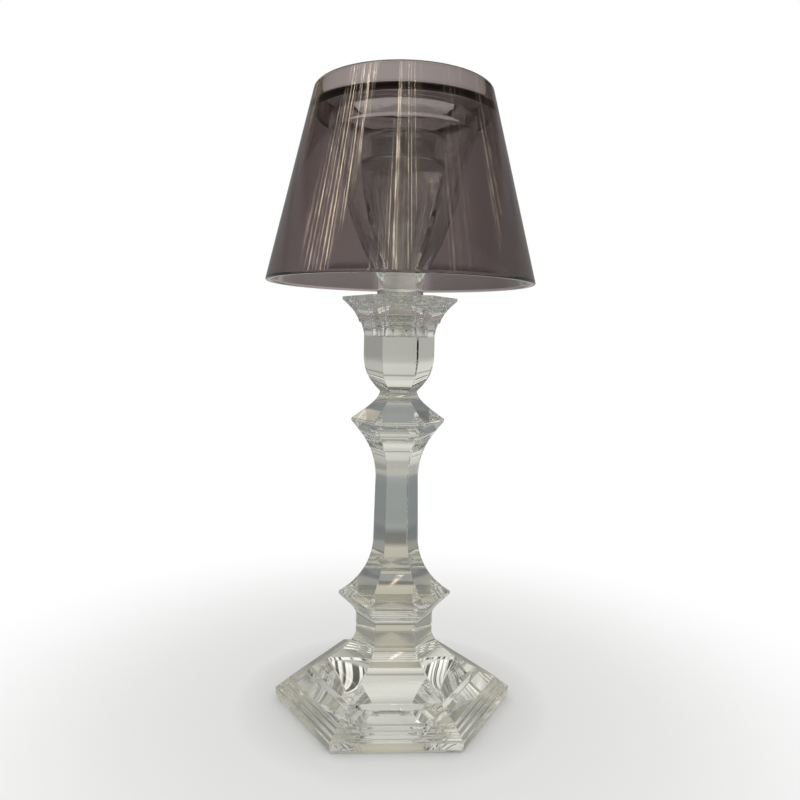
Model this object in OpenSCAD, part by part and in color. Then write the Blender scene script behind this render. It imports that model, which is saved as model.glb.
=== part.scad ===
// Candle lamp: a tinted glass shade carried by clear glass on a hexagonal crystal candlestick.
// Millimetres, +Z up. The origin is the centre of the foot's underside, on the table.
// The corners of every hexagonal section lie on the X axis and every 60 degrees from it.

/* [Foot] */
// Width of the foot across its corners
foot_w = 147.4; // [130:0.2:165]
// Height of the upright band round the foot
foot_edge_h = 7; // [5:0.5:10]
// Chamfer that keeps the foot's bottom edge from chipping
foot_chamfer = 1.6; // [0.8:0.1:2.4]
// Number of cut steps between the edge band and the dome
step_count = 3; // [1:1:4]
// Width of one step, measured along a corner
step_run = 2.7; // [2:0.1:3.5]
// Height of one step
step_rise = 2.1; // [1.2:0.1:2.8]
// Width of the sloping shelf inside the steps
shelf_run = 10.6; // [7:0.2:13]
// Rise of that shelf towards the dome
shelf_rise = 2.9; // [1.5:0.1:4]
// Height of the steep kerb between the shelf and the dome
kerb_h = 2.8; // [1.5:0.1:4]
// How far that kerb leans inwards
kerb_run = 1.7; // [1:0.1:2.5]
// Height of the hollow-sided dome above the kerb
dome_h = 24; // [18:0.5:30]

/* [Stem] */
// Corner radius of the neck above the foot
neck_r = 23.8; // [21:0.2:27]
// Height of the neck
neck_h = 11; // [8:0.5:16]
// Corner radius of the lower knop
low_knop_r = 34.9; // [31:0.1:39]
// Height from the neck up to the lower knop's edge
low_knop_h = 13.2; // [10:0.2:17]
// Height from the lower knop's edge to the foot of the stem
low_taper_h = 31.4; // [25:0.2:38]
// Corner radius at the foot of the stem
stem_low_r = 14; // [12.5:0.1:17]
// Corner radius at the top of the stem
stem_top_r = 13.1; // [12:0.1:15]
// Height of the plain part of the stem
stem_h = 42; // [30:0.5:60]
// Corner radius of the upper knop
up_knop_r = 28.5; // [25:0.1:32]
// Height from the stem up to the upper knop's edge
up_knop_h = 33.5; // [27:0.5:40]
// Height from the upper knop's edge to the waist
up_taper_h = 16.3; // [13:0.1:20]
// Height of the flat that is cut round the edge of each knop
knop_edge = 1.5; // [0.8:0.1:2.4]
// Corner radius of the waist under the cup
waist_r = 11.4; // [10:0.1:13]

/* [Cup and drip collar] */
// Corner radius of the cup
cup_r = 21.5; // [19.5:0.1:24]
// Height of the rounded bowl of the cup
cup_bowl_h = 21; // [18:0.2:26]
// Height of the straight side of the cup
cup_side_h = 11; // [8:0.5:15]
// Height of the cup's lip, which opens out under the collar
cup_lip_h = 9.2; // [7:0.2:12]
// How far the lip opens out past the side of the cup
cup_lip_out = 2.1; // [1:0.1:3]
// Step from the cup's lip out to the foot of the collar
collar_step = 1; // [0.4:0.1:2]
// Corner radius of the collar at its rim
collar_r = 34.8; // [31:0.1:39]
// Height of the collar from the cup to the top of its rim
collar_h = 15.2; // [12:0.1:19]
// Height of the upright band at the collar's rim
collar_edge = 1.7; // [1:0.1:2.5]
// Depth of the drip dish in the top of the collar
dish_depth = 3.4; // [2:0.1:4.5]
// Width of the rim's flat top, outside the drip dish
collar_land = 1.8; // [1.2:0.1:3]
// Depth of the candle socket below the dish
socket_depth = 20.4; // [16:0.2:25]

/* [Shade carrier] */
// Radius of the carrier's peg, which stands in the socket
peg_r = 11; // [9.5:0.1:12]
// Length of that peg
peg_l = 11.8; // [8:0.1:15]
// Outer radius of the carrier's neck
carrier_neck_r = 13.9; // [13.6:0.1:15]
// Height of that neck
carrier_neck_h = 15; // [12:0.5:19]
// Height of the narrow bowl above the neck
carrier_bowl_h = 44; // [36:0.5:52]
// Outer radius where the narrow bowl starts to flare
carrier_waist_r = 33.2; // [31:0.1:37]
// Height of the flare
carrier_flare_h = 39; // [32:0.5:46]
// Height of the upright wall at the mouth
carrier_mouth_h = 9; // [6:0.5:12]
// Outer radius of the mouth
carrier_mouth_r = 44.2; // [41:0.1:47]
// Wall of the carrier
carrier_wall = 3.2; // [2.8:0.1:3.6]
// Thickness of glass under the well that holds the candle glass
carrier_floor = 3.5; // [2.5:0.1:5]

/* [Candle glass] */
// Height of the candle glass's peg, which stands in the carrier's well
glass_peg_h = 13.2; // [10:0.2:16]
// Height of its solid tapered body
glass_body_h = 58; // [52:0.5:64]
// Outer radius at the top of that body
glass_body_r = 24.6; // [23.5:0.1:26.5]
// Height of its upright side, up to the rim
glass_side_h = 20.5; // [18.5:0.5:22]
// How far the upright side leans out
glass_lean = 0.8; // [0:0.1:1.4]
// Depth of the cavity for the candle
cavity_depth = 15.7; // [14.8:0.1:17]

/* [Candle] */
// Radius of the candle's clear cup
candle_r = 19.1; // [18:0.1:19.6]
// Height of the clear cup
candle_h = 14; // [12:0.2:14.5]
// Wall of the clear cup
candle_wall = 0.7; // [0.5:0.05:1]
// Height of the wax above the cup's floor
wax_h = 10.6; // [8:0.2:10.8]
// Radius of the wick
wick_r = 0.8; // [0.6:0.05:1]
// How far the wick stands above the wax
wick_out = 6.5; // [4:0.5:8]
// Radius of the metal tab that holds the wick
tab_r = 6.5; // [5:0.5:8]
// Height of the tab's crimped neck
tab_neck_h = 3.6; // [2.5:0.1:5]

/* [Shade] */
// Outer radius of the shade at its bottom edge
shade_low_r = 80.3; // [74:0.1:88]
// Outer radius of the shade at its top edge
shade_top_r = 52.7; // [51.5:0.1:56]
// Height of the shade
shade_h = 111.6; // [100:0.2:124]
// Wall of the shade, measured level
shade_wall = 4.2; // [3.4:0.1:4.8]
// Depth of the seat ring below the shade's top edge
recess_depth = 12.4; // [9:0.2:17]
// Thickness of the seat ring
seat_t = 3; // [2.4:0.1:4]
// Width of the carrier's rim that the seat ring covers
seat_lap = 5.2; // [4.8:0.1:6.5]
// Depth of the centring lip under the seat ring
lip_depth = 1.2; // [1:0.1:2.6]
// Rounding of the shade's ground edges
shade_round = 1.4; // [0.8:0.1:1.6]

/* [Fits] */
// Clearance all round each peg
peg_gap = 0.5; // [0.3:0.05:0.8]
// Clearance all round the candle in its cavity
candle_gap = 1.6; // [1:0.1:2]
// Clearance between the shade's lip and the carrier's mouth
lip_gap = 0.5; // [0.3:0.05:0.8]
// Gap left under each piece that lifts off its seat
seat_gap = 0.3; // [0.2:0.05:0.4]

/* [Hidden] */
$fn = 120;
hex = 6;
curve_steps = 10;
// Shares of a cut step's run and rise that its leaning riser takes
step_lean = 0.12;
step_riser = 0.8;
// Rounding of the rims and of the ground edges
glass_round = 1.4;
cavity_round = 2;
peg_round = 2;
small_round = 0.6;
cavity_edge = 0.8;
// Eased edge of the collar's rim, inwards and down
collar_ease = [0.4, 0.3];
// Height of the narrow ring between the waist and the cup
waist_ring = 0.6;
// Level floor of the drip dish outside the carrier's neck
dish_floor = 2.6;
// Slope that joins the seat ring's underside to the shade's wall
seat_slope = 1.4;
wick_gap = 0.1;
tab_t = 0.3;

// Levels of the candlestick, from the table up
foot_r = foot_w / 2;
z_steps = foot_edge_h;
z_shelf = z_steps + step_count * step_rise;
z_kerb = z_shelf + shelf_rise;
z_dome = z_kerb + kerb_h;
z_neck = z_dome + dome_h;
z_low_knop = z_neck + neck_h;
z_low_edge = z_low_knop + low_knop_h;
z_stem = z_low_edge + knop_edge + low_taper_h;
z_up_knop = z_stem + stem_h;
z_up_edge = z_up_knop + up_knop_h;
z_waist = z_up_edge + knop_edge + up_taper_h;
z_cup = z_waist + waist_ring;
z_cup_side = z_cup + cup_bowl_h;
z_cup_lip = z_cup_side + cup_side_h;
z_collar = z_cup_lip + cup_lip_h;
z_collar_top = z_collar + collar_h;
z_dish = z_collar_top - dish_depth;
z_socket = z_dish - socket_depth;

// Radii that follow from one another across the fits
shelf_r = foot_r - foot_chamfer / 3 - step_count * step_run;
kerb_r = shelf_r - shelf_run;
dome_r = kerb_r - kerb_run;
cup_lip_r = cup_r + cup_lip_out;
collar_foot_r = cup_lip_r + collar_step;
socket_r = peg_r + peg_gap;
dish_r = carrier_neck_r + dish_floor;
well_r = carrier_neck_r - carrier_wall;
glass_peg_r = well_r - peg_gap;
glass_rim_r = glass_body_r + glass_lean;
cavity_r = candle_r + candle_gap;
seat_hole_r = carrier_mouth_r - seat_lap;
lip_r = carrier_mouth_r - carrier_wall - lip_gap;

// Levels of the glass above the candlestick
z_carrier = z_dish + seat_gap;
z_carrier_bowl = z_carrier + carrier_neck_h;
z_carrier_flare = z_carrier_bowl + carrier_bowl_h;
z_carrier_mouth = z_carrier_flare + carrier_flare_h;
z_carrier_rim = z_carrier_mouth + carrier_mouth_h;
z_well = z_carrier + carrier_floor;
z_glass = z_well + seat_gap;
z_glass_body = z_glass + glass_peg_h;
z_glass_side = z_glass_body + glass_body_h;
z_glass_rim = z_glass_side + glass_side_h;
z_cavity = z_glass_rim - cavity_depth;
z_candle = z_cavity + seat_gap;
z_wax = z_candle + candle_wall;
z_wax_top = z_wax + wax_h;
z_seat = z_carrier_rim + seat_gap;
z_shade_top = z_seat + seat_t + recess_depth;
z_shade_low = z_shade_top - shade_h;

// Points of a cubic curve from a to b. The pulls p and q place its two handles,
// each as a share of the run and of the rise between the ends. The start is left out.
function curve(a, b, p, q, n = curve_steps) =
    let (
        d = b - a,
        c = [a[0] + p[0] * d[0], a[1] + p[1] * d[1]],
        e = [a[0] + q[0] * d[0], a[1] + q[1] * d[1]]
    )
    [for (i = [1 : n])
        let (t = i / n, s = 1 - t)
        s * s * s * a + 3 * s * s * t * c + 3 * s * t * t * e + t * t * t * b];

// Points of a round corner of radius r about the centre c, from angle a0 to a1.
function corner(c, r, a0, a1, n = 6) =
    [for (i = [0 : n]) let (a = a0 + (a1 - a0) * i / n) c + r * [cos(a), sin(a)]];

// Outer radius of the shade at the level z.
function shade_r(z) =
    shade_low_r + (shade_top_r - shade_low_r) * (z - z_shade_low) / shade_h;

// Profile of the foot at a corner: chamfer, upright band, cut steps, shelf, kerb and dome.
function foot_profile() = concat(
    [
        [0, 0],
        [foot_r - foot_chamfer, 0],
        [foot_r - foot_chamfer / 3, foot_chamfer],
        [foot_r, z_steps - foot_chamfer / 2],
        [foot_r - foot_chamfer / 3, z_steps]
    ],
    [for (i = [1 : step_count])
        each let (r = foot_r - foot_chamfer / 3 - i * step_run, z = z_steps + i * step_rise)
        [[r + step_run * step_lean, z - step_rise * step_riser], [r, z]]],
    [[kerb_r, z_kerb], [dome_r, z_dome]],
    curve([dome_r, z_dome], [neck_r, z_neck], [0.42, 0.22], [0.95, 0.66])
);

// Profile of the stem at a corner: neck, lower knop, stem, upper knop and waist.
function stem_profile() = concat(
    [[neck_r, z_low_knop]],
    curve([neck_r, z_low_knop], [low_knop_r, z_low_edge], [0, 0.32], [0.6, 0.65]),
    [[low_knop_r, z_low_edge + knop_edge]],
    curve([low_knop_r, z_low_edge + knop_edge], [stem_low_r, z_stem], [0.69, 0.28], [0.93, 0.63]),
    [[stem_top_r, z_up_knop]],
    curve([stem_top_r, z_up_knop], [up_knop_r, z_up_edge], [0.07, 0.42], [0.29, 0.63]),
    [[up_knop_r, z_up_edge + knop_edge]],
    curve([up_knop_r, z_up_edge + knop_edge], [waist_r, z_waist], [0.47, 0.36], [0.95, 0.67])
);

// Profile of the cup at a corner: rounded bowl, straight side and opening lip.
function cup_profile() = concat(
    [[waist_r, z_cup]],
    curve([waist_r, z_cup], [cup_r, z_cup_side], [0.4, 0.19], [0.98, 0.45]),
    [[cup_r, z_cup_lip]],
    curve([cup_r, z_cup_lip], [cup_lip_r, z_collar], [0, 0.43], [0.52, 0.76]),
    [[0, z_collar]]
);

// Candle socket, blind in the cup and open through the collar.
module socket() {
    translate([0, 0, z_socket])
        cylinder(r = socket_r, h = z_collar_top - z_socket + 1);
}

// One crystal casting with six flat sides: foot, two knops, stem and cup.
module candlestick() {
    color([0.80, 0.84, 0.81, 0.75])
        difference() {
            rotate_extrude($fn = hex)
                polygon(concat(foot_profile(), stem_profile(), cup_profile()));
            socket();
        }
}

// Flared hexagonal collar on the cup, with a round drip dish in its top.
module drip_collar() {
    rim_r = collar_r - collar_land;
    color([0.82, 0.86, 0.83, 0.75])
        difference() {
            rotate_extrude($fn = hex)
                polygon(concat(
                    [[0, z_collar], [collar_foot_r, z_collar]],
                    curve([collar_foot_r, z_collar], [collar_r, z_collar_top - collar_edge],
                        [0.08, 0.29], [0.45, 0.67]),
                    [
                        [collar_r, z_collar_top - collar_ease[1]],
                        [collar_r - collar_ease[0], z_collar_top],
                        [0, z_collar_top]
                    ]
                ));
            rotate_extrude()
                polygon(concat(
                    [[0, z_dish], [dish_r, z_dish]],
                    curve([dish_r, z_dish], [rim_r * cos(30), z_collar_top], [0.6, 0.1], [0.9, 0.6]),
                    [[rim_r * cos(30), z_collar_top + 1], [0, z_collar_top + 1]]
                ));
            socket();
        }
}

// Side of the carrier from its neck to its rim, moved inwards by d.
function carrier_side(d) = concat(
    [[carrier_neck_r - d, z_carrier_bowl]],
    curve([carrier_neck_r - d, z_carrier_bowl], [carrier_waist_r - d, z_carrier_flare],
        [0.16, 0.13], [0.6, 0.39], 14),
    curve([carrier_waist_r - d, z_carrier_flare], [carrier_mouth_r - d, z_carrier_mouth],
        [0.21, 0.28], [0.44, 0.64], 14)
);

// Reversed copy of a list of points.
function back(p) = [for (i = [len(p) - 1 : -1 : 0]) p[i]];

// Tulip glass that stands in the socket, holds the candle glass and carries the shade.
module shade_carrier() {
    lip = carrier_wall / 2;
    color([0.86, 0.90, 0.88, 0.45])
        rotate_extrude()
            polygon(concat(
                [[0, z_carrier - peg_l]],
                corner([peg_r - peg_round, z_carrier - peg_l + peg_round], peg_round, -90, 0),
                [
                    [peg_r, z_carrier],
                    [carrier_neck_r - small_round, z_carrier],
                    [carrier_neck_r, z_carrier + small_round]
                ],
                carrier_side(0),
                corner([carrier_mouth_r - lip, z_carrier_rim - lip], lip, 0, 180, 10),
                back(carrier_side(carrier_wall)),
                corner([well_r - cavity_round, z_well + cavity_round], cavity_round, 0, -90),
                [[0, z_well]]
            ));
}

// Solid tapered glass on a peg, with a shallow cavity for the candle in its top.
module candle_glass() {
    lip = glass_round;
    color([0.88, 0.92, 0.90, 0.5])
        rotate_extrude()
            polygon(concat(
                [[0, z_glass]],
                corner([glass_peg_r - peg_round, z_glass + peg_round], peg_round, -90, 0),
                [[glass_peg_r, z_glass_body]],
                curve([glass_peg_r, z_glass_body], [glass_body_r, z_glass_side],
                    [0.21, 0.16], [0.82, 0.57], 16),
                corner([glass_rim_r - lip, z_glass_rim - lip], lip, 0, 90),
                corner([cavity_r + cavity_edge, z_glass_rim - cavity_edge], cavity_edge, 90, 180),
                corner([cavity_r - cavity_edge, z_cavity + cavity_edge], cavity_edge, 0, -90),
                [[0, z_cavity]]
            ));
}

// Clear moulded cup of the candle.
module candle_cup() {
    inner_r = candle_r - candle_wall;
    color([0.93, 0.94, 0.94, 0.4])
        translate([0, 0, z_candle])
            difference() {
                cylinder(r = candle_r, h = candle_h);
                translate([0, 0, candle_wall])
                    cylinder(r = inner_r, h = candle_h);
            }
}

// Wax in the cup, cast round the wick and its tab.
module candle_wax() {
    wax_r = candle_r - candle_wall - wick_gap;
    color([0.95, 0.94, 0.90, 0.8])
        difference() {
            translate([0, 0, z_wax])
                cylinder(r = wax_r, h = wax_h);
            translate([0, 0, z_wax - 1])
                cylinder(r = wick_r + wick_gap, h = wax_h + 2);
            translate([0, 0, z_wax - 1])
                cylinder(r = tab_r + wick_gap, h = 1 + tab_t + wick_gap);
            translate([0, 0, z_wax - 1])
                cylinder(r = wick_r + tab_t + 2 * wick_gap, h = 1 + tab_neck_h + wick_gap);
        }
}

// Cotton wick, from the floor of the cup to above the wax.
module wick() {
    color([0.93, 0.92, 0.88])
        translate([0, 0, z_wax])
            cylinder(r = wick_r, h = wax_h + wick_out);
}

// Thin metal tab with a crimped neck that holds the wick upright.
module wick_tab() {
    color([0.75, 0.75, 0.74])
        translate([0, 0, z_wax])
            difference() {
                union() {
                    cylinder(r = tab_r, h = tab_t);
                    cylinder(r = wick_r + tab_t + wick_gap, h = tab_neck_h);
                }
                translate([0, 0, -1])
                    cylinder(r = wick_r + wick_gap / 2, h = tab_neck_h + 2);
            }
}

// Tinted conical shade with a seat ring inside, which rests on the carrier's rim.
module shade() {
    s = shade_round;
    color([0.36, 0.31, 0.34, 0.6])
        rotate_extrude()
            polygon(concat(
                corner([shade_r(z_shade_low) - s, z_shade_low + s], s, -90, 0),
                corner([shade_r(z_shade_top) - s, z_shade_top - s], s, 0, 90),
                corner([shade_r(z_shade_top) - shade_wall + s, z_shade_top - s], s, 90, 180),
                [
                    [shade_r(z_seat + seat_t) - shade_wall, z_seat + seat_t],
                    [seat_hole_r + small_round, z_seat + seat_t],
                    [seat_hole_r, z_seat + seat_t - small_round],
                    [seat_hole_r, z_seat - lip_depth],
                    [lip_r, z_seat - lip_depth],
                    [lip_r, z_seat],
                    [shade_r(z_seat - seat_slope) - shade_wall - seat_slope, z_seat],
                    [shade_r(z_seat - seat_slope) - shade_wall, z_seat - seat_slope]
                ],
                corner([shade_r(z_shade_low) - shade_wall + s, z_shade_low + s], s, 180, 270)
            ));
}

candlestick();
drip_collar();
shade_carrier();
candle_glass();
candle_cup();
candle_wax();
wick();
wick_tab();
shade();
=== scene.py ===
"""Candle lamp: cut crystal candlestick, clear carrier and candle glass, and a thick tinted shade.

The pieces are turned surfaces. A profile of (radius, height) points runs in millimetres from one
pole, or round a closed loop, and is carried round the Z axis on a round or six-sided section.
"""
import math

import bpy
import numpy as np
from mathutils import Matrix, Vector

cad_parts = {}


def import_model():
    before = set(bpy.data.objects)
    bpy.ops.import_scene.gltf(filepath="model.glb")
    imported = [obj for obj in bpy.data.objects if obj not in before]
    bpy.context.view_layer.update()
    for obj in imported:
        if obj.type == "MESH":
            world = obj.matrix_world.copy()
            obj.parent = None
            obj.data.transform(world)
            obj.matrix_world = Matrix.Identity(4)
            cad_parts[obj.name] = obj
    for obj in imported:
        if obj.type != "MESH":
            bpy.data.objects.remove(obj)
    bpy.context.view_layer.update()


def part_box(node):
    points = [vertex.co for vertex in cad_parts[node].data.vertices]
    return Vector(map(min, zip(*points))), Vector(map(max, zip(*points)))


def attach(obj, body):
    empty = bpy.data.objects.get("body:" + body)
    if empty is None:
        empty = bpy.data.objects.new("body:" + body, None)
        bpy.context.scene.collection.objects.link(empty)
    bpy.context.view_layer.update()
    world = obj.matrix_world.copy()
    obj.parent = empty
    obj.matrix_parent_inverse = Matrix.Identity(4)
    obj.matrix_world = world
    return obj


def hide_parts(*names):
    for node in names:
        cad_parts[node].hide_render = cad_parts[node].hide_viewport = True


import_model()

MM = 0.001
WAYS_ROUND = 192
SIDES = 6
CUT_EDGE = 0.5


def node_span(node):
    """Lowest level, highest level and half width of a CAD node, in millimetres."""
    low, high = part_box(node)
    return low.z / MM, high.z / MM, high.x / MM


# Profiles

def cubic(a, b, pull_a, pull_b, steps=26):
    """Cubic curve from a to b, without a. Each pull places a handle, as a share of run and rise."""
    a, b = np.array(a, float), np.array(b, float)
    c, d = a + (b - a) * pull_a, a + (b - a) * pull_b
    t = np.linspace(0, 1, steps + 1)[1:, None]
    return (1 - t) ** 3 * a + 3 * (1 - t) ** 2 * t * c + 3 * (1 - t) * t ** 2 * d + t ** 3 * b


def heading(angle):
    """Unit vectors (cos, sin) at angles in radians."""
    return np.stack([np.cos(angle), np.sin(angle)], -1)


def arc(centre, radius, start, end, steps=8):
    """Arc of a circle round centre, from one angle to another in degrees."""
    return np.array(centre, float) + radius * heading(np.radians(np.linspace(start, end, steps + 1)))


def path(*stretches):
    """Joins points and arrays of points into one profile, and drops points that coincide."""
    points = np.concatenate([np.atleast_2d(np.array(s, float)) for s in stretches])
    far = np.linalg.norm(np.diff(points, axis=0), axis=1) > 1e-5
    return points[np.concatenate([[True], far])]


# A corner flatter than STRAIGHT_ENOUGH stays as it is. A rounding takes at most ROUNDING_ROOM of the
# shorter flat beside it, and its guard points lie GUARD times its reach from the corner
STRAIGHT_ENOUGH = math.cos(math.radians(9))
ROUNDING_ROOM, GUARD = 0.42, 1.15


def soften(points, radius, closed=False):
    """Rounds each corner sharper than 9 degrees with a curve that starts radius away from it.

    The curve is (1 - t)^2 a + 2 t (1 - t) corner + t^2 b, between a point a before the corner and a
    point b after it. A guard point just outside each end keeps the flat beside it flat to the eye.
    """
    before, after = np.roll(points, 1, axis=0) - points, np.roll(points, -1, axis=0) - points
    run_in, run_out = (np.linalg.norm(run, axis=1)[:, None] for run in (before, after))
    u, v = before / run_in, after / run_out
    sharp = (u * v).sum(1) >= -STRAIGHT_ENOUGH
    if not closed:
        sharp[[0, -1]] = False
    reach = np.minimum(radius, ROUNDING_ROOM * np.minimum(run_in, run_out))
    corner, a, b = points[:, None], (points + u * reach)[:, None], (points + v * reach)[:, None]
    t = np.linspace(0, 1, 6)[:, None]
    bend = (1 - t) ** 2 * a + 2 * t * (1 - t) * corner + t ** 2 * b
    guard_in, guard_out = corner + (a - corner) * GUARD, corner + (b - corner) * GUARD
    made = np.concatenate([guard_in, bend, guard_out], 1)
    made[~sharp] = corner[~sharp]
    return made[sharp[:, None] | (np.arange(made.shape[1]) == 0)]


# Sections and turned surfaces

# EDGE_SHARE is the most that a corner's rounding may be of the hexagon's radius, SIDE_GUARD the
# place of a side's guard points along it, and PATTERN_R the radius of the hexagon whose points give
# the round stretches their angles
EDGE_SHARE, SIDE_GUARD, PATTERN_R = 0.3, 0.02, 40.0


def at_levels(ring, level):
    """Flat rings, each raised to its own level."""
    return np.concatenate([ring, np.broadcast_to(level[:, None, None], (*ring.shape[:2], 1))], 2)


def six_sided(radius, level, edge=CUT_EDGE, corner_steps=4, side_steps=14):
    """Hexagon rings with small round corners, one ring for each radius and level.

    A corner is an arc of radius edge, whose centre lies edge / sin 60 inside the corner. Each side
    is straight between two arcs, with a guard point near either end.
    """
    edge = np.minimum(edge, EDGE_SHARE * radius)[:, None]
    inset = radius[:, None] - edge / math.sin(math.radians(60))
    shares = np.concatenate([[SIDE_GUARD], np.linspace(0, 1, side_steps + 1)[1:-1], [1 - SIDE_GUARD]])
    columns = []
    for side in range(SIDES):
        here, normal, there = np.radians(60 * side + np.array([0, 30, 60]))
        turn = here + np.radians(np.linspace(-30, 30, corner_steps + 1))
        columns.append(inset[:, None] * heading(here) + edge[:, None] * heading(turn))
        start, end = (inset * heading(corner) + edge * heading(normal) for corner in (here, there))
        columns.append(start[:, None] + (end - start)[:, None] * shares[:, None])
    return at_levels(np.concatenate(columns, 1), level)


def round_rings(radius, level, angles):
    """Circle rings, one for each radius and level, with their points at the given angles."""
    return at_levels(radius[:, None, None] * heading(angles), level)


def even_angles(count=WAYS_ROUND):
    """Angles of evenly spaced points round a circle."""
    return np.arange(count) * 2 * math.pi / count


def skin(name, rings, closed=False):
    """Mesh object over an array of rings: a quad joins each two neighbouring columns of each two
    neighbouring rings.

    A closed skin joins its last ring to its first. An open one begins and ends in a ring of no
    radius, which becomes one point with triangles round it.
    """
    rows, columns = rings.shape[:2]
    verts = rings.reshape(-1, 3) * MM
    index = np.arange(rows * columns)
    if not closed:
        verts = np.concatenate([verts[:1], verts[columns:-columns], verts[-1:]])
        index = np.clip(index - (columns - 1), 0, len(verts) - 1)
    low = index.reshape(rows, columns)
    high = np.roll(low, -1, axis=0)
    quads = np.stack([low, np.roll(low, -1, 1), np.roll(high, -1, 1), high], -1)
    if closed:
        faces = quads.reshape(-1, 4).tolist()
    else:
        between = quads[1:-2].reshape(-1, 4)
        faces = quads[0][:, [0, 2, 3]].tolist() + between.tolist() + quads[-2][:, :3].tolist()
    mesh = bpy.data.meshes.new(name)
    mesh.from_pydata(verts.tolist(), [], faces)
    mesh.update()
    mesh.shade_smooth()
    piece = bpy.data.objects.new(name, mesh)
    bpy.context.scene.collection.objects.link(piece)
    return piece


def turned(name, profile, closed=False, count=WAYS_ROUND):
    """Round turned piece: the profile carried round Z. It runs anticlockwise, so faces point out."""
    return skin(name, round_rings(profile[:, 0], profile[:, 1], even_angles(count)), closed)


def cut_turned(name, stretches, closed=False):
    """Turned piece whose stretches of profile are either six-sided or round.

    stretches is a list of (profile, is_cut). The round ones use the polar angles of a hexagon's
    points, so that every ring has the same columns.
    """
    pattern = six_sided(np.array([PATTERN_R]), np.array([0.0]))[0]
    angles = np.arctan2(pattern[:, 1], pattern[:, 0])
    rings = [six_sided(p[:, 0], p[:, 1]) if is_cut else round_rings(p[:, 0], p[:, 1], angles)
             for p, is_cut in stretches]
    return skin(name, np.concatenate(rings), closed)


# Candlestick and collar, as the solids have them: _R is a radius, to a corner where the section
# is six-sided, _RUN and _RISE lie along and up a slope, and a plain name such as NECK_TOP is a level

FOOT_R, EDGE_H, CHAMFER = node_span("candlestick")[2], 7.0, 1.6
STEPS, STEP_RUN, STEP_RISE, STEP_LEAN, STEP_RISER = 3, 2.7, 2.1, 0.12, 0.8
SHELF_RUN, SHELF_RISE, KERB_RUN, KERB_H = 10.6, 2.9, 1.7, 2.8
NECK_R, NECK_LOW, NECK_TOP = 23.8, 43.0, 54.0
LOW_KNOP_R, LOW_KNOP = 34.9, 67.2
STEM_LOW_R, STEM_LOW = 14.0, 100.1
STEM_TOP_R, STEM_TOP = 13.1, 142.1
UP_KNOP_R, UP_KNOP = 28.5, 175.6
KNOP_EDGE = 1.5
WAIST_R, WAIST = 11.4, 193.4
CUP_R, CUP_LOW, CUP_SIDE, CUP_LIP = 21.5, 194.0, 215.0, 226.0
LIP_R, CUP_TOP = 23.6, node_span("candlestick")[1]
COLLAR_LOW_R, COLLAR_R, COLLAR_EDGE, COLLAR_LAND = 24.6, node_span("drip_collar")[2], 1.7, 1.8
COLLAR_TOP = node_span("drip_collar")[1]
COLLAR_FLAT, LAND_FLAT, JOINT_FILM = 1.2, 0.8, 0.06
DISH_DEPTH, DISH_R = 3.4, 16.5
SOCKET_R, SOCKET_DEPTH = 11.5, 20.4
CUT_ENDS, ROUND_STARTS = SOCKET_R + 3, SOCKET_R + 1
DISH = COLLAR_TOP - DISH_DEPTH
SOCKET_FLOOR = DISH - SOCKET_DEPTH
POLISHED_EDGE, SOCKET_ROUND, DISH_ROUND = 0.35, 0.8, 0.5


def candlestick_piece():
    """Crystal candlestick: flat underside, six-sided outside from foot to lip, and blind socket."""
    edge_r = FOOT_R - CHAMFER / 3
    steps = [q for i in range(1, STEPS + 1)
             for q in ((edge_r - (i - STEP_LEAN) * STEP_RUN, EDGE_H + (i - STEP_RISER) * STEP_RISE),
                       (edge_r - i * STEP_RUN, EDGE_H + i * STEP_RISE))]
    kerb = (edge_r - STEPS * STEP_RUN - SHELF_RUN, EDGE_H + STEPS * STEP_RISE + SHELF_RISE)
    dome = (kerb[0] - KERB_RUN, kerb[1] + KERB_H)
    outside = soften(path(
        (NECK_R * 2, 0), (FOOT_R - CHAMFER, 0), (edge_r, CHAMFER), (FOOT_R, EDGE_H - CHAMFER / 2),
        (edge_r, EDGE_H), steps, kerb, dome,
        cubic(dome, (NECK_R, NECK_LOW), (0.42, 0.22), (0.95, 0.66), 40),
        (NECK_R, NECK_TOP),
        cubic((NECK_R, NECK_TOP), (LOW_KNOP_R, LOW_KNOP), (0, 0.32), (0.6, 0.65)),
        (LOW_KNOP_R, LOW_KNOP + KNOP_EDGE),
        cubic((LOW_KNOP_R, LOW_KNOP + KNOP_EDGE), (STEM_LOW_R, STEM_LOW), (0.69, 0.28), (0.93, 0.63)),
        (STEM_TOP_R, STEM_TOP),
        cubic((STEM_TOP_R, STEM_TOP), (UP_KNOP_R, UP_KNOP), (0.07, 0.42), (0.29, 0.63)),
        (UP_KNOP_R, UP_KNOP + KNOP_EDGE),
        cubic((UP_KNOP_R, UP_KNOP + KNOP_EDGE), (WAIST_R, WAIST), (0.47, 0.36), (0.95, 0.67)),
        (WAIST_R, CUP_LOW),
        cubic((WAIST_R, CUP_LOW), (CUP_R, CUP_SIDE), (0.4, 0.19), (0.98, 0.45)),
        (CUP_R, CUP_LIP),
        cubic((CUP_R, CUP_LIP), (LIP_R, CUP_TOP), (0, 0.43), (0.52, 0.76)),
        (CUT_ENDS, CUP_TOP),
    ), POLISHED_EDGE)
    socket = soften(path((ROUND_STARTS, CUP_TOP), (SOCKET_R, CUP_TOP), (SOCKET_R, SOCKET_FLOOR),
                         (0, SOCKET_FLOOR)), SOCKET_ROUND)
    underside = np.array([(0, 0), (NECK_R, 0)])
    return cut_turned("candlestick_crystal", [(underside, False), (outside, True), (socket, False)])


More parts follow.
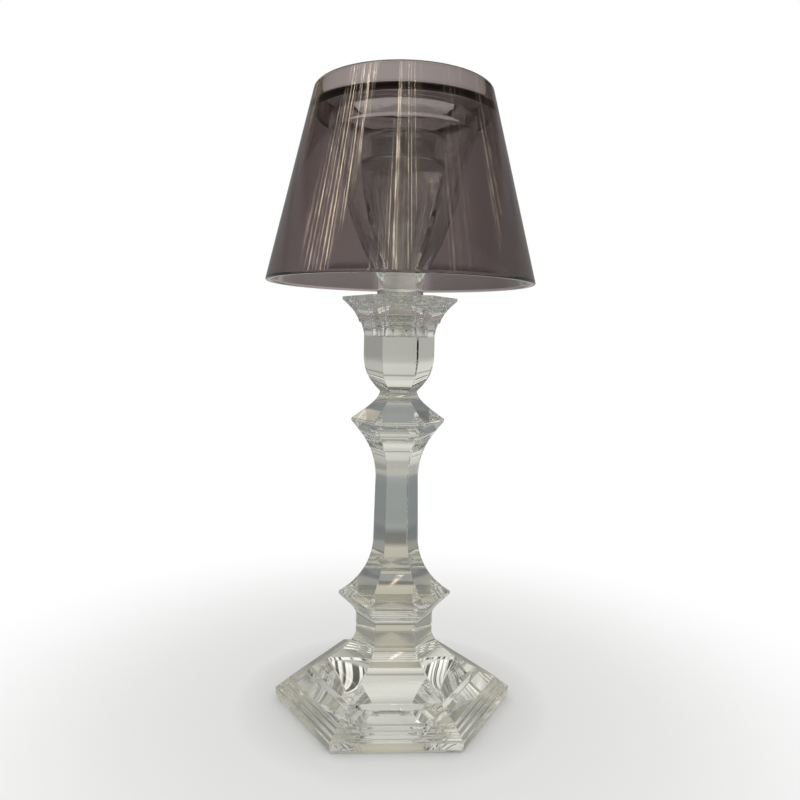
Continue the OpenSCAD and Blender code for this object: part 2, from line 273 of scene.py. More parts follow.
def collar_piece():
    """Drip collar: a closed loop of six-sided outside, round dish and round bore."""
    low = CUP_TOP + JOINT_FILM
    rim = (COLLAR_R - COLLAR_LAND) * math.cos(math.radians(30))
    outside = soften(path(
        (CUT_ENDS, low), (COLLAR_LOW_R, low),
        cubic((COLLAR_LOW_R, low), (COLLAR_R, COLLAR_TOP - COLLAR_EDGE), (0.08, 0.29), (0.45, 0.67)),
        (COLLAR_R, COLLAR_TOP), (COLLAR_R - COLLAR_FLAT, COLLAR_TOP),
    ), POLISHED_EDGE)
    dish = cubic((rim, COLLAR_TOP), (DISH_R, DISH), (0.1, 0.4), (0.4, 0.9))
    inside = soften(path((rim + LAND_FLAT, COLLAR_TOP), (rim, COLLAR_TOP), dish, (SOCKET_R, DISH),
                         (SOCKET_R, low), (ROUND_STARTS, low)), DISH_ROUND)
    return cut_turned("drip_collar_crystal", [(outside, True), (inside, False)], closed=True)


# Carrier: its levels add up from its bottom end

CARRIER_LOW, CARRIER_RIM, MOUTH_R = node_span("shade_carrier")
PEG_R, PEG_L, PEG_ROUND = 11.0, 11.8, 2.0
CARRIER_SEAT = CARRIER_LOW + PEG_L
CARRIER_NECK_R, NECK_H, BOWL_H, BOWL_R, FLARE_H = 13.9, 15.0, 44.0, 33.2, 39.0
SHOULDER_H, SHOULDER_ROUND = 4.0, 0.9
CARRIER_WALL, WELL_FLOOR, WELL_ROUND = 3.2, 3.5, 5.0
WELL = CARRIER_SEAT + WELL_FLOOR


def carrier_side(inwards):
    """Side of the carrier from its neck to its mouth, moved inwards by a wall or by nothing."""
    neck, flare = CARRIER_SEAT + NECK_H, CARRIER_SEAT + NECK_H + BOWL_H
    a, b = (CARRIER_NECK_R - inwards, neck), (BOWL_R - inwards, flare)
    c = (MOUTH_R - inwards, flare + FLARE_H)
    bowl = cubic(a, b, (0.16, 0.13), (0.6, 0.39), 36)
    return path(a, bowl, cubic(b, c, (0.21, 0.28), (0.44, 0.64), 36))


def carrier_piece():
    """Carrier: peg, neck, tulip bowl, fire-polished rim, and the well for the candle glass."""
    lip = CARRIER_WALL / 2
    well_r = CARRIER_NECK_R - CARRIER_WALL
    shoulder = soften(path(
        (PEG_R, CARRIER_LOW + PEG_ROUND + 1), (PEG_R, CARRIER_SEAT), (CARRIER_NECK_R, CARRIER_SEAT),
        (CARRIER_NECK_R, CARRIER_SEAT + SHOULDER_H)), SHOULDER_ROUND)
    profile = path(
        (0, CARRIER_LOW), arc((PEG_R - PEG_ROUND, CARRIER_LOW + PEG_ROUND), PEG_ROUND, -90, 0),
        shoulder, carrier_side(0), arc((MOUTH_R - lip, CARRIER_RIM - lip), lip, 0, 180, 14),
        carrier_side(CARRIER_WALL)[::-1],
        arc((well_r - WELL_ROUND, WELL + WELL_ROUND), WELL_ROUND, 0, -90, 12), (0, WELL))
    return turned("carrier_glass", profile)


# Candle glass

GLASS_LOW, GLASS_RIM, RIM_R = node_span("candle_glass")
GLASS_PEG_R, GLASS_PEG_H, GLASS_PEG_ROUND, BODY_H, BODY_R = 10.2, 13.2, 4.0, 58.0, 24.6
CAVITY_R, CAVITY_DEPTH, CAVITY_ROUND, FLOOR_FLAT = 20.7, 15.7, 2.5, 8.0
GLASS_LIP = 1.4
CAVITY = GLASS_RIM - CAVITY_DEPTH


def candle_glass_piece():
    """Candle glass: peg, solid tapered body, upright side, round rim and the candle's cavity."""
    body, side = GLASS_LOW + GLASS_PEG_H, GLASS_LOW + GLASS_PEG_H + BODY_H
    profile = path(
        (0, GLASS_LOW),
        arc((GLASS_PEG_R - GLASS_PEG_ROUND, GLASS_LOW + GLASS_PEG_ROUND), GLASS_PEG_ROUND, -90, 0, 12),
        (GLASS_PEG_R, body),
        cubic((GLASS_PEG_R, body), (BODY_R, side), (0.21, 0.16), (0.82, 0.57), 40),
        arc((RIM_R - GLASS_LIP, GLASS_RIM - GLASS_LIP), GLASS_LIP, 0, 90),
        arc((CAVITY_R + GLASS_LIP, GLASS_RIM - GLASS_LIP), GLASS_LIP, 90, 180),
        arc((CAVITY_R - CAVITY_ROUND, CAVITY + CAVITY_ROUND), CAVITY_ROUND, 0, -90),
        (CAVITY_R - FLOOR_FLAT, CAVITY), (0, CAVITY))
    return turned("candle_glass_solid", profile)


# Shade

SHADE_LOW, SHADE_TOP, SHADE_R = node_span("shade")
SHADE_TOP_R, SHADE_WALL, SHADE_ROUND = 52.7, 4.2, 1.4
SEAT_GAP, SEAT_T, SEAT_HOLE, SEAT_LIP_R, SEAT_LIP = 0.3, 3.0, 39.0, 40.5, 1.2
SEAT = CARRIER_RIM + SEAT_GAP


def shade_radius(level):
    """Outer radius of the shade at a level: a straight line from bottom to top."""
    return SHADE_R + (SHADE_TOP_R - SHADE_R) * (level - SHADE_LOW) / (SHADE_TOP - SHADE_LOW)


def shade_piece():
    """Shade: one closed loop up the outside, over the top, round the seat ring and down inside."""
    inner = [(shade_radius(z) - SHADE_WALL, z) for z in (SHADE_TOP, SEAT + SEAT_T, SEAT, SHADE_LOW)]
    profile = soften(path(
        (SHADE_R, SHADE_LOW), [(shade_radius(z), z) for z in np.linspace(SHADE_LOW, SHADE_TOP, 12)],
        inner[0], inner[1], (SEAT_HOLE, SEAT + SEAT_T), (SEAT_HOLE, SEAT - SEAT_LIP),
        (SEAT_LIP_R, SEAT - SEAT_LIP), (SEAT_LIP_R, SEAT), inner[2], inner[3],
    ), SHADE_ROUND, closed=True)
    return turned("shade_glass", profile, closed=True)


# Candle: cup, wax, wick and tab. TWIST is in radians per millimetre of height

CANDLE_LOW, CANDLE_TOP, CANDLE_R = node_span("candle_cup")
WAX_LOW, WAX_TOP, WAX_R = node_span("candle_wax")
CUP_FOOT_ROUND, CUP_INNER_ROUND = 1.2, 0.8
WAX_FILM, WAX_ROUND, WAX_DIP = 0.05, 0.9, 0.75
CLIMB_AT_WALL, WALL_REACH, CLIMB_AT_WICK, WICK_REACH = 0.5, 1.0, 0.7, 1.6
WICK_BODY, LOBE, TWIST, TIP_H, TIP_SHARE, WICK_LEAN = 0.9, 0.09, 1.9, 1.2, 0.25, 0.5
TAB_BORE, TAB_NECK, TAB_FLARE, TAB_HALF, TAB_FLAT = 0.85, 1.2, 0.5, 0.15, 0.05


def cup_piece():
    """Clear cup of the candle, with a rolled lip and a rounded foot."""
    wall = WAX_LOW - CANDLE_LOW
    foot_r, inner_r = CANDLE_R - CUP_FOOT_ROUND, CANDLE_R - wall - CUP_INNER_ROUND
    profile = path(
        (0, CANDLE_LOW), arc((foot_r, CANDLE_LOW + CUP_FOOT_ROUND), CUP_FOOT_ROUND, -90, 0),
        arc((CANDLE_R - wall / 2, CANDLE_TOP - wall / 2), wall / 2, 0, 180),
        arc((inner_r, WAX_LOW + CUP_INNER_ROUND), CUP_INNER_ROUND, 0, -90), (0, WAX_LOW))
    return turned("candle_cup_clear", profile)


def wax_piece():
    """Wax: its top climbs as exp(-d / reach) at the cup's wall, at a distance d from it, and as
    exp(-(r / reach)^2) round the wick, and dips between them."""
    r = np.linspace(WAX_R, 0, 60)
    climb = CLIMB_AT_WALL * np.exp(-(WAX_R - r) / WALL_REACH)
    climb += CLIMB_AT_WICK * np.exp(-(r / WICK_REACH) ** 2)
    top = np.stack([r, WAX_TOP - WAX_DIP + climb], 1)
    low = WAX_LOW + WAX_FILM
    profile = path((0, low), arc((WAX_R - WAX_ROUND, low + WAX_ROUND), WAX_ROUND, -90, 0), top)
    return turned("candle_wax_gel", profile)


def wick_piece():
    """Braided wick: its section has two lobes, 1 + LOBE cos 2 (angle - TWIST height), which wind as
    they rise. The tip narrows, and above the wax it leans over with the square of the height."""
    low, high, radius = node_span("wick")
    rows, columns = 90, 24
    level = np.linspace(low, high, rows)
    angles = even_angles(columns)
    lobes = 1 + LOBE * np.cos(2 * (angles[None] - level[:, None] * TWIST))
    taper = np.clip((high - level) / TIP_H, TIP_SHARE, 1)[:, None]
    ring = radius * WICK_BODY * lobes * taper
    lean = WICK_LEAN * np.clip((level - WAX_TOP) / (high - WAX_TOP), 0, 1) ** 2
    rings = np.stack([ring * np.cos(angles) + lean[:, None], ring * np.sin(angles),
                      np.broadcast_to(level[:, None], ring.shape)], -1)
    foot, tip = (np.broadcast_to([rings[row, :, 0].mean(), 0, z], (1, columns, 3))
                 for row, z in ((0, low), (-1, high)))
    return skin("wick_braid", np.concatenate([foot, rings, tip]))


def tab_piece():
    """Wick tab: a thin disc with a rolled edge and a crimped neck round the wick."""
    low, high, radius = node_span("wick_tab")
    top = low + 2 * TAB_HALF
    profile = path(
        (TAB_BORE, low), (radius - TAB_HALF - TAB_FLAT, low),
        arc((radius - TAB_HALF, low + TAB_HALF), TAB_HALF, -90, 90),
        (TAB_NECK + TAB_FLARE, top), (TAB_NECK, top + TAB_FLARE), (TAB_NECK, high), (TAB_BORE, high))
    return turned("wick_tab_tin", profile, closed=True, count=48)


# Materials

def linear(code):
    """Linear RGBA of an sRGB hex colour."""
    parts = [int(code[i:i + 2], 16) / 255 for i in (1, 3, 5)]
    return [p / 12.92 if p <= 0.04045 else ((p + 0.055) / 1.055) ** 2.4 for p in parts] + [1.0]


def add(tree, kind, links=(), **settings):
    """Adds a node with its settings. A setting named in_X is an input's value. Links are pairs of
    an input and its source, which is a socket, or a node for that node's first live output."""
    node = tree.nodes.new(kind)
    for name, value in settings.items():
        if name.startswith("in_"):
            key = name[3:].replace("_", " ")
            node.inputs[int(key) if key.isdigit() else key].default_value = value
        else:
            setattr(node, name, value)
    for name, source in links:
        if isinstance(source, bpy.types.Node):
            source = next(output for output in source.outputs if output.enabled)
        tree.links.new(source, node.inputs[name])
    return node


def new_material(name):
    """Empty node material and its tree."""
    material = bpy.data.materials.new(name)
    material.use_nodes = True
    material.node_tree.nodes.clear()
    return material, material.node_tree


def grain(tree, across_mm, height_mm, detail, roughness=0.5):
    """Noise on Object coordinates, across_mm wide, and the bump that it gives, height_mm high."""
    place = add(tree, "ShaderNodeTexCoord")
    noise = add(tree, "ShaderNodeTexNoise", [("Vector", place.outputs["Object"])],
                in_Scale=1 / (across_mm * MM), in_Detail=detail, in_Roughness=roughness)
    bump = add(tree, "ShaderNodeBump", [("Height", noise)], in_Strength=1.0, in_Distance=height_mm * MM)
    return noise, bump


def glass(name, colour, ior, ripple_mm, ripple_height_mm, depth_colour=None, depth=0.0):
    """Clear or tinted glass. Long ripples, ripple_mm across, are what blowing and polishing leave.

    depth_colour and depth (1/m) give the absorption: light falls off as exp(-depth (1 - colour) d).
    """
    material, tree = new_material(name)
    bump = grain(tree, ripple_mm, ripple_height_mm, detail=1.0, roughness=0.4)[1]
    shader = add(tree, "ShaderNodeBsdfPrincipled", [("Normal", bump)], in_Base_Color=linear(colour),
                 in_Transmission_Weight=1.0, in_IOR=ior, in_Roughness=0.0)
    ends = [("Surface", shader)]
    if depth:
        fill = add(tree, "ShaderNodeVolumeAbsorption", in_Color=linear(depth_colour), in_Density=depth)
        ends.append(("Volume", fill))
    add(tree, "ShaderNodeOutputMaterial", ends)
    return material


def gel_wax():
    """Paraffin gel, poured: see-through and softer than glass to the eye, with a faintly uneven,
    slightly dull top."""
    material, tree = new_material("translucent_wax")
    bump = grain(tree, 3.0, 0.08, detail=4.0)[1]
    shader = add(tree, "ShaderNodeBsdfPrincipled", [("Normal", bump)], in_Base_Color=linear("#fbfaf6"),
                 in_Transmission_Weight=1.0, in_IOR=1.44, in_Roughness=0.04)
    add(tree, "ShaderNodeOutputMaterial", [("Surface", shader)])
    return material


def plain(name, colour, roughness, metallic, grain_mm, grain_height_mm, shade_by=0.0):
    """Opaque finish with a fine grain in its height, which also darkens its colour by shade_by, as
    painted shade.
    """
    material, tree = new_material(name)
    noise, bump = grain(tree, grain_mm, grain_height_mm, detail=3.0)
    # Painted shade: the colour darkens by shade_by where the grain's noise is high.
    painted_shade_tone = [c * (1 - shade_by) for c in linear(colour)[:3]] + [1.0]
    tone = add(tree, "ShaderNodeMix", [("Factor", noise)], data_type="RGBA",
               in_6=linear(colour), in_7=painted_shade_tone)
    shader = add(tree, "ShaderNodeBsdfPrincipled", [("Normal", bump), ("Base Color", tone)],
                 in_Metallic=metallic, in_Roughness=roughness)
    add(tree, "ShaderNodeOutputMaterial", [("Surface", shader)])
    return material


# Lead crystal, pressed, then cut and polished: heavy, with flats so true that each one mirrors and bends
# a whole window without a ripple. Its grey-green tint is partly its own faint colour in the mass and
# partly painted shade, for the dim room seen through it.
lead_crystal = glass("cut_lead_crystal", "#dee0dc", ior=1.545, ripple_mm=22, ripple_height_mm=0.010)

# The same crystal, a few millimetres thick in the drip collar: too thin to show its colour, so its tint
# is lighter and carries less of the painted shade.
thin_crystal = glass("thin_cut_lead_crystal", "#f3f4f0", ior=1.545, ripple_mm=22, ripple_height_mm=0.010)

# Soda glass, blown and fire polished: no colour, and a skin that melted smooth but wavers, so that
# what stands behind it swims a little.
blown_glass = glass("fire_polished_clear_glass", "#fafcfa", ior=1.52, ripple_mm=9, ripple_height_mm=0.2)

# Soda glass tinted plum grey in the pot, and polished: the colour lies in the mass, so the wall is
# smoky face on and nearly black where light goes along in it, as at the seat ring. Its gloss is clean.
plum_glass = glass("plum_grey_tinted_glass", "#ffffff", ior=1.52, ripple_mm=26, ripple_height_mm=0.04,
                   depth_colour="#a08e92", depth=340.0)

# Polycarbonate, injection moulded: a thin, very clear shell with the gloss of its mould.
clear_moulding = glass("clear_polycarbonate", "#fbfcfc", ior=1.58, ripple_mm=6, ripple_height_mm=0.02)

# Cotton yarn, braided and dipped in wax: matt cream, with painted shade for the furrows between the
# strands, where the noise of its fine relief darkens its colour.
cotton_braid = plain("waxed_cotton_braid", "#e6e1d3", roughness=0.8, metallic=0,
                     grain_mm=0.4, grain_height_mm=0.1, shade_by=0.3)

# Steel sheet, tinned and pressed: a pale grey metal with a soft, slightly uneven shine. Its grain
# is drawn some ten times coarser than the real one, so that it shows.
tinplate = plain("pressed_tinplate", "#b9b9b6", roughness=0.35, metallic=1,
                 grain_mm=0.6, grain_height_mm=0.02)


# Assembly

PIECES = (
    (candlestick_piece, "candlestick", "stand", "crystal", lead_crystal),
    (collar_piece, "drip_collar", "stand", "crystal", thin_crystal),
    (carrier_piece, "shade_carrier", "carrier", "clear_glass", blown_glass),
    (candle_glass_piece, "candle_glass", "candle_holder", "clear_glass", blown_glass),
    (cup_piece, "candle_cup", "candle", "clear_cup", clear_moulding),
    (wax_piece, "candle_wax", "candle", "wax", gel_wax()),
    (wick_piece, "wick", "candle", "wick", cotton_braid),
    (tab_piece, "wick_tab", "candle", "tinplate", tinplate),
    (shade_piece, "shade", "shade", "tinted_glass", plum_glass),
)
for make, node, body, slot_name, material in PIECES:
    piece = make()
    piece.data.materials.append(material)
    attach(piece, body)
    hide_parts(node)


# Stage: table, walls and camera. The camera sees a white studio. Gloss and glass see a fuller one:
# a table with painted light and shade, lighter at the lamp and darker away from it, a grey wall, and tall
# leaning windows above it. On the table, distances are metres from the lamp's axis. On the walls, a
# height is the Z of the unit vector to that place, and a place across is its X.

SMOOTH = {"interpolation_type": "SMOOTHSTEP"}
WHITE = (1, 1, 1, 1)

# Table: its side in metres and its gap under the foot in millimetres, its tone to the camera, and the
# painted
# light and shade that glass sees on it: a warm, light tone near the lamp, a cooler one further off and a
# painted dark ring, where the ring lies and how dark it is, the tone far off and the painted shade to the
# sides, its gloss at the foot, and the share of its tone that glows to glass as painted light, clear of
# the lamp's shadow
TABLE_SIDE, TABLE_GAP = 8.0, 0.2
TABLE_SEEN, TABLE_WARM, TABLE_COOL, TABLE_RING = "#f6f6f5", "#dcd6c6", "#adb0b0", "#3c403c"
RING_REACH, RING_DEPTH = 0.275, 0.6
HORIZON, SIDE_TONE, SIDE_SHADE = "#d3d0c8", "#7f868a", 0.6
TABLE_GLOSS, TABLE_GLOW = 0.5, 0.75

# Windows: how many go round the walls, by how many radians their wave shifts to a unit of height,
# its shift at the height WINDOW_MIDDLE, and the bearing, in radians, of the brightest side. Slats,
# teeth and breaks are noises with as many waves to a unit of the walls as their numbers say
WINDOWS_ROUND, WINDOW_LEAN, WINDOW_SHIFT, WINDOW_MIDDLE = 5.6, 10.4, 0.39, 0.7
WINDOW_SIDE = 0.608
SLATS_ROUND, TEETH_ROUND, BREAKS = 26.0, 75.0, (14, 14, 40)

# Brightness, where 1 is white: a slat, the wall between slats, the low wall in a mirror and through
# glass, the ceiling, and the light that falls on plain surfaces
SLAT_LIGHT, WALL_DARK, WALL_GREY, WALL_PALE, CEILING, ROOM_LIGHT = 14.0, 0.12, 0.3, 0.9, 0.8, 0.9
DAYLIGHT, SUNLIGHT = "#fdfaf4", "#ffebcf"

# Low wall: the place across that lies behind the lamp, the height of the dark band, how far from
# that place its two parts have their middles, and the height of the cornice
BEHIND_LAMP, BAND_HEIGHT, BAND_ACROSS, CORNICE_HEIGHT = 0.0485, 0.078, 0.135, 0.3

# Camera: sensor in millimetres, the photograph's width and focal length in pixels, place, degrees
SENSOR, PHOTO_WIDTH, FOCAL_PX = 36.0, 800, 723
CAMERA_PLACE = Vector((1.1, -440, 226)) * MM
CAMERA_TURN, CAMERA_DOWN, CAMERA_ROLL = -2.78, 4.89, 1.13


def ray_kinds(tree):
    """What is 1 for a camera ray, for any ray off or through a surface with gloss, and for a
    mirrored ray that hasn't gone through glass."""
    light = add(tree, "ShaderNodeLightPath")
    kinds = [(0, light.outputs["Is Glossy Ray"]), (1, light.outputs["Is Transmission Ray"])]
    glassy = add(tree, "ShaderNodeMath", kinds, operation="MAXIMUM")
    mirrored = add(tree, "ShaderNodeMath", kinds, operation="SUBTRACT", use_clamp=True)
    return light.outputs["Is Camera Ray"], glassy, mirrored


def distance(tree, value, centre):
    """How far a value lies from centre, to either side."""
    off = add(tree, "ShaderNodeMath", [(0, value)], operation="SUBTRACT", in_1=centre)
    return add(tree, "ShaderNodeMath", [(0, off)], operation="ABSOLUTE")


def sidewards(tree, axes):
    """|X Y| of a unit vector: 0 straight ahead, behind and abeam, and greatest halfway between."""
    both = add(tree, "ShaderNodeMath", [(0, axes.outputs["X"]), (1, axes.outputs["Y"])],
               operation="MULTIPLY")
    return add(tree, "ShaderNodeMath", [(0, both)], operation="ABSOLUTE")


def table_painted_light(tree, place, reach):
    """Painted light and shade on the table, as glass sees it: warm and light at the lamp and cool beyond
    it, with a painted dark ring between. Far off it has the walls' own tone, and on the slant, to either
    side, it lies in painted shade."""
    cool = add(tree, "ShaderNodeMapRange", [("Value", reach)],
               in_From_Min=0.15, in_From_Max=0.4, **SMOOTH)
    tone = add(tree, "ShaderNodeMix", [("Factor", cool)], data_type="RGBA",
               in_6=linear(TABLE_WARM), in_7=linear(TABLE_COOL))
    ring = add(tree, "ShaderNodeMapRange", [("Value", distance(tree, reach, RING_REACH))],
               in_From_Min=0.03, in_From_Max=0.08, in_To_Min=RING_DEPTH, in_To_Max=0.0, **SMOOTH)
    mist = add(tree, "ShaderNodeMapRange", [("Value", reach)],
               in_From_Min=0.65, in_From_Max=1.3, **SMOOTH)
    towards = add(tree, "ShaderNodeVectorMath", [(0, place)], operation="NORMALIZE")
    axes = add(tree, "ShaderNodeSeparateXYZ", [("Vector", towards)])
    aside = add(tree, "ShaderNodeMapRange", [("Value", sidewards(tree, axes))],
                in_From_Min=0.12, in_From_Max=0.45, in_To_Max=SIDE_SHADE, **SMOOTH)
    near = add(tree, "ShaderNodeMapRange", [("Value", reach)],
               in_From_Min=0.8, in_From_Max=1.8, in_To_Min=1.0, in_To_Max=0.35, **SMOOTH)
    aside = add(tree, "ShaderNodeMath", [(0, aside), (1, near)], operation="MULTIPLY")
    # Painted dark ring, far tone and painted shade to the sides, laid over the tone in turn.
    for share, colour in ((ring, TABLE_RING), (mist, HORIZON), (aside, SIDE_TONE)):
        tone = add(tree, "ShaderNodeMix", [("Factor", share), (6, tone)], data_type="RGBA",
                   in_7=linear(colour))
    return tone


def floor():
    """Table of pale board, lacquered and polished: a soft gloss and a faint shadow at the foot. To
    the camera it fades to white, and to glass it mostly glows with its painted tones, as painted light,
    so that the lamp's shadow doesn't darken them."""
    bpy.ops.mesh.primitive_plane_add(size=TABLE_SIDE, location=(0, 0, -TABLE_GAP * MM))
    table = bpy.context.object
    table.name = "table_top"
    material, tree = new_material("pale_polished_table")
    place = add(tree, "ShaderNodeTexCoord").outputs["Object"]
    reach = add(tree, "ShaderNodeVectorMath", [("Vector", place)], operation="LENGTH")
    seen, glassy, _ = ray_kinds(tree)
    tone = table_painted_light(tree, place, reach)
    tone = add(tree, "ShaderNodeMix", [("Factor", seen), (6, tone)], data_type="RGBA",
               in_7=linear(TABLE_SEEN))
    away = add(tree, "ShaderNodeMapRange", [("Value", reach)],
               in_From_Min=0.12, in_From_Max=0.34, **SMOOTH)
    # Painted light: to glass the table glows with TABLE_GLOW of its painted tone.
    through = add(tree, "ShaderNodeMath", [(0, glassy)], operation="MULTIPLY", in_1=TABLE_GLOW)
    fade = add(tree, "ShaderNodeMix", [("Factor", seen), ("A", through), ("B", away)], data_type="FLOAT")
    shine = add(tree, "ShaderNodeMapRange", [("Value", reach)],
                in_From_Min=0.075, in_From_Max=0.1, in_To_Min=TABLE_GLOSS, in_To_Max=0.0, **SMOOTH)
    shader = add(tree, "ShaderNodeBsdfPrincipled", [("Base Color", tone), ("Specular IOR Level", shine)],
                 in_Roughness=0.25, in_IOR=1.5)
    haze = add(tree, "ShaderNodeMix", [("Factor", seen), (6, tone)], data_type="RGBA", in_7=WHITE)
    glow = add(tree, "ShaderNodeEmission", [("Color", haze)])
    both = add(tree, "ShaderNodeMixShader", [(0, fade), (1, shader), (2, glow)])
    add(tree, "ShaderNodeOutputMaterial", [("Surface", both)])
    table.data.materials.append(material)


def window_wave(tree, azimuth, up):
    """cos(WINDOWS_ROUND azimuth + WINDOW_LEAN height + shift): 1 along the middle of each window."""
    lean = add(tree, "ShaderNodeMath", [(0, up)], operation="MULTIPLY_ADD",
               in_1=WINDOW_LEAN, in_2=WINDOW_SHIFT - WINDOW_LEAN * WINDOW_MIDDLE)
    phase = add(tree, "ShaderNodeMath", [(0, azimuth), (2, lean)], operation="MULTIPLY_ADD",
                in_1=WINDOWS_ROUND)
    return add(tree, "ShaderNodeMath", [(0, phase)], operation="COSINE")


def mirrored_windows(tree, towards, level, up, azimuth, wave):
    """Windows as gloss mirrors them: panes on the crests of the wave, strongest on one side of the
    room, cut into bright upright slats that break off here and there."""
    panes = add(tree, "ShaderNodeMapRange", [("Value", wave)],
                in_From_Min=-0.35, in_From_Max=0.35, **SMOOTH)
    turned_off = add(tree, "ShaderNodeMath", [(0, azimuth)], operation="SUBTRACT", in_1=WINDOW_SIDE)
    side = add(tree, "ShaderNodeMath", [(0, turned_off)], operation="COSINE")
    side = add(tree, "ShaderNodeMapRange", [("Value", side)],
               in_From_Min=0.35, in_From_Max=0.75, in_To_Min=0.12, **SMOOTH)
    sill = add(tree, "ShaderNodeMapRange", [("Value", up)],
               in_From_Min=0.54, in_From_Max=0.7, in_To_Min=0.9, **SMOOTH)
    for part in (side, sill):
        panes = add(tree, "ShaderNodeMath", [(0, panes), (1, part)], operation="MULTIPLY")
    slats = add(tree, "ShaderNodeTexNoise", [("Vector", level)], in_Scale=SLATS_ROUND, in_Detail=2.0)
    slats = add(tree, "ShaderNodeMapRange", [("Value", slats)],
                in_From_Min=0.5, in_From_Max=0.68, in_To_Min=0.45, in_To_Max=SLAT_LIGHT, **SMOOTH)
    tall = add(tree, "ShaderNodeVectorMath", [(0, towards)], operation="MULTIPLY", in_1=BREAKS)
    breaks = add(tree, "ShaderNodeTexNoise", [("Vector", tall)], in_Scale=1.0, in_Detail=1.0)
    breaks = add(tree, "ShaderNodeMapRange", [("Value", breaks)],
                 in_From_Min=0.4, in_From_Max=0.6, in_To_Min=0.45, in_To_Max=1.35, **SMOOTH)
    slats = add(tree, "ShaderNodeMath", [(0, slats), (1, breaks)], operation="MULTIPLY")
    return add(tree, "ShaderNodeMath", [(0, panes), (1, slats)], operation="MULTIPLY_ADD", in_2=WALL_DARK)


def windows_through_glass(tree, level, wave, aside):
    """The same windows as glass shows them: a calm wave, with fine teeth of light and dark where
    the wall lies to the side of the lamp."""
    calm = add(tree, "ShaderNodeMapRange", [("Value", wave)],
               in_From_Min=-1.0, in_To_Min=0.7, in_To_Max=1.1)
    teeth = add(tree, "ShaderNodeTexNoise", [("Vector", level)], in_Scale=TEETH_ROUND, in_Detail=1.0)
    teeth = add(tree, "ShaderNodeMapRange", [("Value", teeth)],
                in_From_Min=0.43, in_From_Max=0.58, in_To_Min=0.2, in_To_Max=1.7, **SMOOTH)
    beside = add(tree, "ShaderNodeMapRange", [("Value", aside)],
                 in_From_Min=0.08, in_From_Max=0.2, **SMOOTH)
    teeth = add(tree, "ShaderNodeMix", [("Factor", beside), ("B", teeth)], data_type="FLOAT", in_2=0.95)
    return add(tree, "ShaderNodeMath", [(0, calm), (1, teeth)], operation="MULTIPLY")


def low_wall(tree, axes, aside):
    """Wall under the windows as glass shows it. It rises from the far table's tone to a pale grey.
    A low band to the lamp's left and right, the slanting sides near the floor, the right half and
    the line of a cornice are darker."""
    up, across = axes.outputs["Z"], axes.outputs["X"]
    tone = add(tree, "ShaderNodeMapRange", [("Value", up)], in_From_Min=0.03, in_From_Max=0.12,
               in_To_Min=linear(HORIZON)[0], in_To_Max=WALL_PALE, **SMOOTH)
    band = add(tree, "ShaderNodeMapRange", [("Value", distance(tree, up, BAND_HEIGHT))],
               in_From_Min=0.018, in_From_Max=0.028, in_To_Min=1.0, in_To_Max=0.0, **SMOOTH)
    off_middle = distance(tree, distance(tree, across, BEHIND_LAMP), BAND_ACROSS)
    parts = add(tree, "ShaderNodeMapRange", [("Value", off_middle)],
                in_From_Min=0.085, in_From_Max=0.11, in_To_Min=0.5, in_To_Max=0.0, **SMOOTH)
    band = add(tree, "ShaderNodeMath", [(0, band), (1, parts)], operation="MULTIPLY")
    band = add(tree, "ShaderNodeMath", [(0, band)], operation="MULTIPLY_ADD", in_1=-1.0, in_2=1.0)
    shade = add(tree, "ShaderNodeMapRange", [("Value", aside)],
                in_From_Min=0.06, in_From_Max=0.25, in_To_Min=1.0, in_To_Max=0.8, **SMOOTH)
    lifted = add(tree, "ShaderNodeMapRange", [("Value", up)], in_From_Max=0.3, **SMOOTH)
    shade = add(tree, "ShaderNodeMix", [("Factor", lifted), ("A", shade)], data_type="FLOAT", in_3=1.0)
    slant = add(tree, "ShaderNodeMapRange", [("Value", across)],
                in_From_Min=-0.2, in_From_Max=0.2, in_To_Min=1.16, in_To_Max=0.8)
    cornice = add(tree, "ShaderNodeMapRange", [("Value", distance(tree, up, CORNICE_HEIGHT))],
                  in_From_Min=0.012, in_From_Max=0.03, in_To_Min=0.6, **SMOOTH)
    for part in (band, shade, slant, cornice):
        tone = add(tree, "ShaderNodeMath", [(0, tone), (1, part)], operation="MULTIPLY")
    return tone


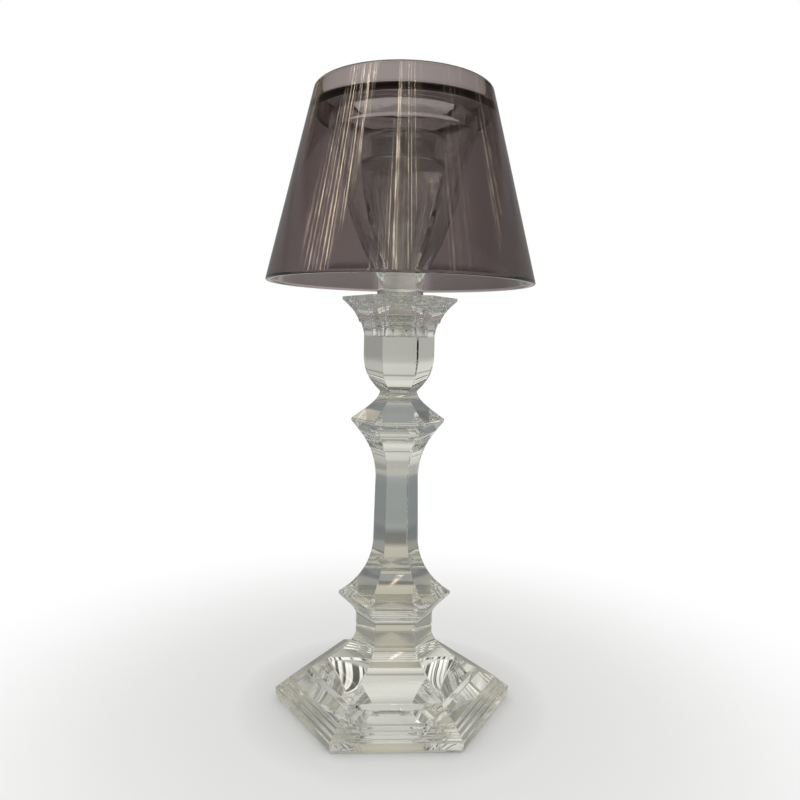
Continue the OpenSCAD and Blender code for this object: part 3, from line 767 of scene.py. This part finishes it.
def world():
    """White walls to the camera, an even white light to plain surfaces, and to gloss and glass the
    low wall, the windows and a plain ceiling. What gloss mirrors of the windows is warmer."""
    made = bpy.data.worlds.new("studio")
    bpy.context.scene.world = made
    made.use_nodes = True
    tree = made.node_tree
    tree.nodes.clear()
    towards = add(tree, "ShaderNodeTexCoord").outputs["Generated"]
    axes = add(tree, "ShaderNodeSeparateXYZ", [("Vector", towards)])
    up = axes.outputs["Z"]
    aside = sidewards(tree, axes)
    seen, glassy, mirrored = ray_kinds(tree)
    behind = add(tree, "ShaderNodeVectorMath", [(0, towards)], operation="MULTIPLY", in_1=(-1, -1, 1))
    behind = add(tree, "ShaderNodeSeparateXYZ", [("Vector", behind)])
    azimuth = add(tree, "ShaderNodeMath", [(0, behind.outputs["X"]), (1, behind.outputs["Y"])],
                  operation="ARCTAN2")
    flat = add(tree, "ShaderNodeVectorMath", [(0, towards)], operation="MULTIPLY", in_1=(1, 1, 0))
    level = add(tree, "ShaderNodeVectorMath", [(0, flat)], operation="NORMALIZE")

    wave = window_wave(tree, azimuth, up)
    through = windows_through_glass(tree, level, wave, aside)
    off = mirrored_windows(tree, towards, level, up, azimuth, wave)
    high = add(tree, "ShaderNodeMix", [("Factor", mirrored), ("A", through), ("B", off)],
               data_type="FLOAT")
    top = add(tree, "ShaderNodeMapRange", [("Value", up)],
              in_From_Min=0.76, in_From_Max=0.84, **SMOOTH)
    high = add(tree, "ShaderNodeMix", [("Factor", top), ("A", high)], data_type="FLOAT", in_3=CEILING)
    low = add(tree, "ShaderNodeMix", [("Factor", mirrored), ("A", low_wall(tree, axes, aside))],
              data_type="FLOAT", in_3=WALL_GREY)
    above = add(tree, "ShaderNodeMapRange", [("Value", up)],
                in_From_Min=0.38, in_From_Max=0.44, **SMOOTH)
    light = add(tree, "ShaderNodeMix", [("Factor", above), ("A", low), ("B", high)], data_type="FLOAT")
    light = add(tree, "ShaderNodeMix", [("Factor", glassy), ("B", light)], data_type="FLOAT",
                in_2=ROOM_LIGHT)
    light = add(tree, "ShaderNodeMix", [("Factor", seen), ("A", light)], data_type="FLOAT", in_3=1.0)

    warm = add(tree, "ShaderNodeMath", [(0, above), (1, mirrored)], operation="MULTIPLY")
    colour = add(tree, "ShaderNodeMix", [("Factor", warm)], data_type="RGBA",
                 in_6=linear(DAYLIGHT), in_7=linear(SUNLIGHT))
    colour = add(tree, "ShaderNodeMix", [("Factor", glassy), (7, colour)], data_type="RGBA", in_6=WHITE)
    back = add(tree, "ShaderNodeBackground", [("Color", colour), ("Strength", light)])
    add(tree, "ShaderNodeOutputWorld", [("Surface", back)])


def camera():
    """Camera fitted to the photograph: 440 mm from the axis, looking 4.9 degrees down."""
    data = bpy.data.cameras.new("photo_camera")
    data.sensor_width, data.lens = SENSOR, FOCAL_PX / PHOTO_WIDTH * SENSOR
    made = bpy.data.objects.new("photo_camera", data)
    bpy.context.scene.collection.objects.link(made)
    turn = Matrix.Rotation(math.radians(CAMERA_TURN), 4, "Z")
    tilt = Matrix.Rotation(math.radians(90 - CAMERA_DOWN), 4, "X")
    roll = Matrix.Rotation(math.radians(CAMERA_ROLL), 4, "Z")
    made.matrix_world = turn @ Matrix.Translation(CAMERA_PLACE) @ tilt @ roll
    bpy.context.scene.camera = made


floor()
world()
camera()
bpy.context.scene.view_settings.view_transform = "Standard"

# Light crosses ten glass faces and more on its way through the lamp
cycles = bpy.context.scene.cycles
cycles.max_bounces, cycles.transmission_bounces, cycles.glossy_bounces = 24, 24, 12
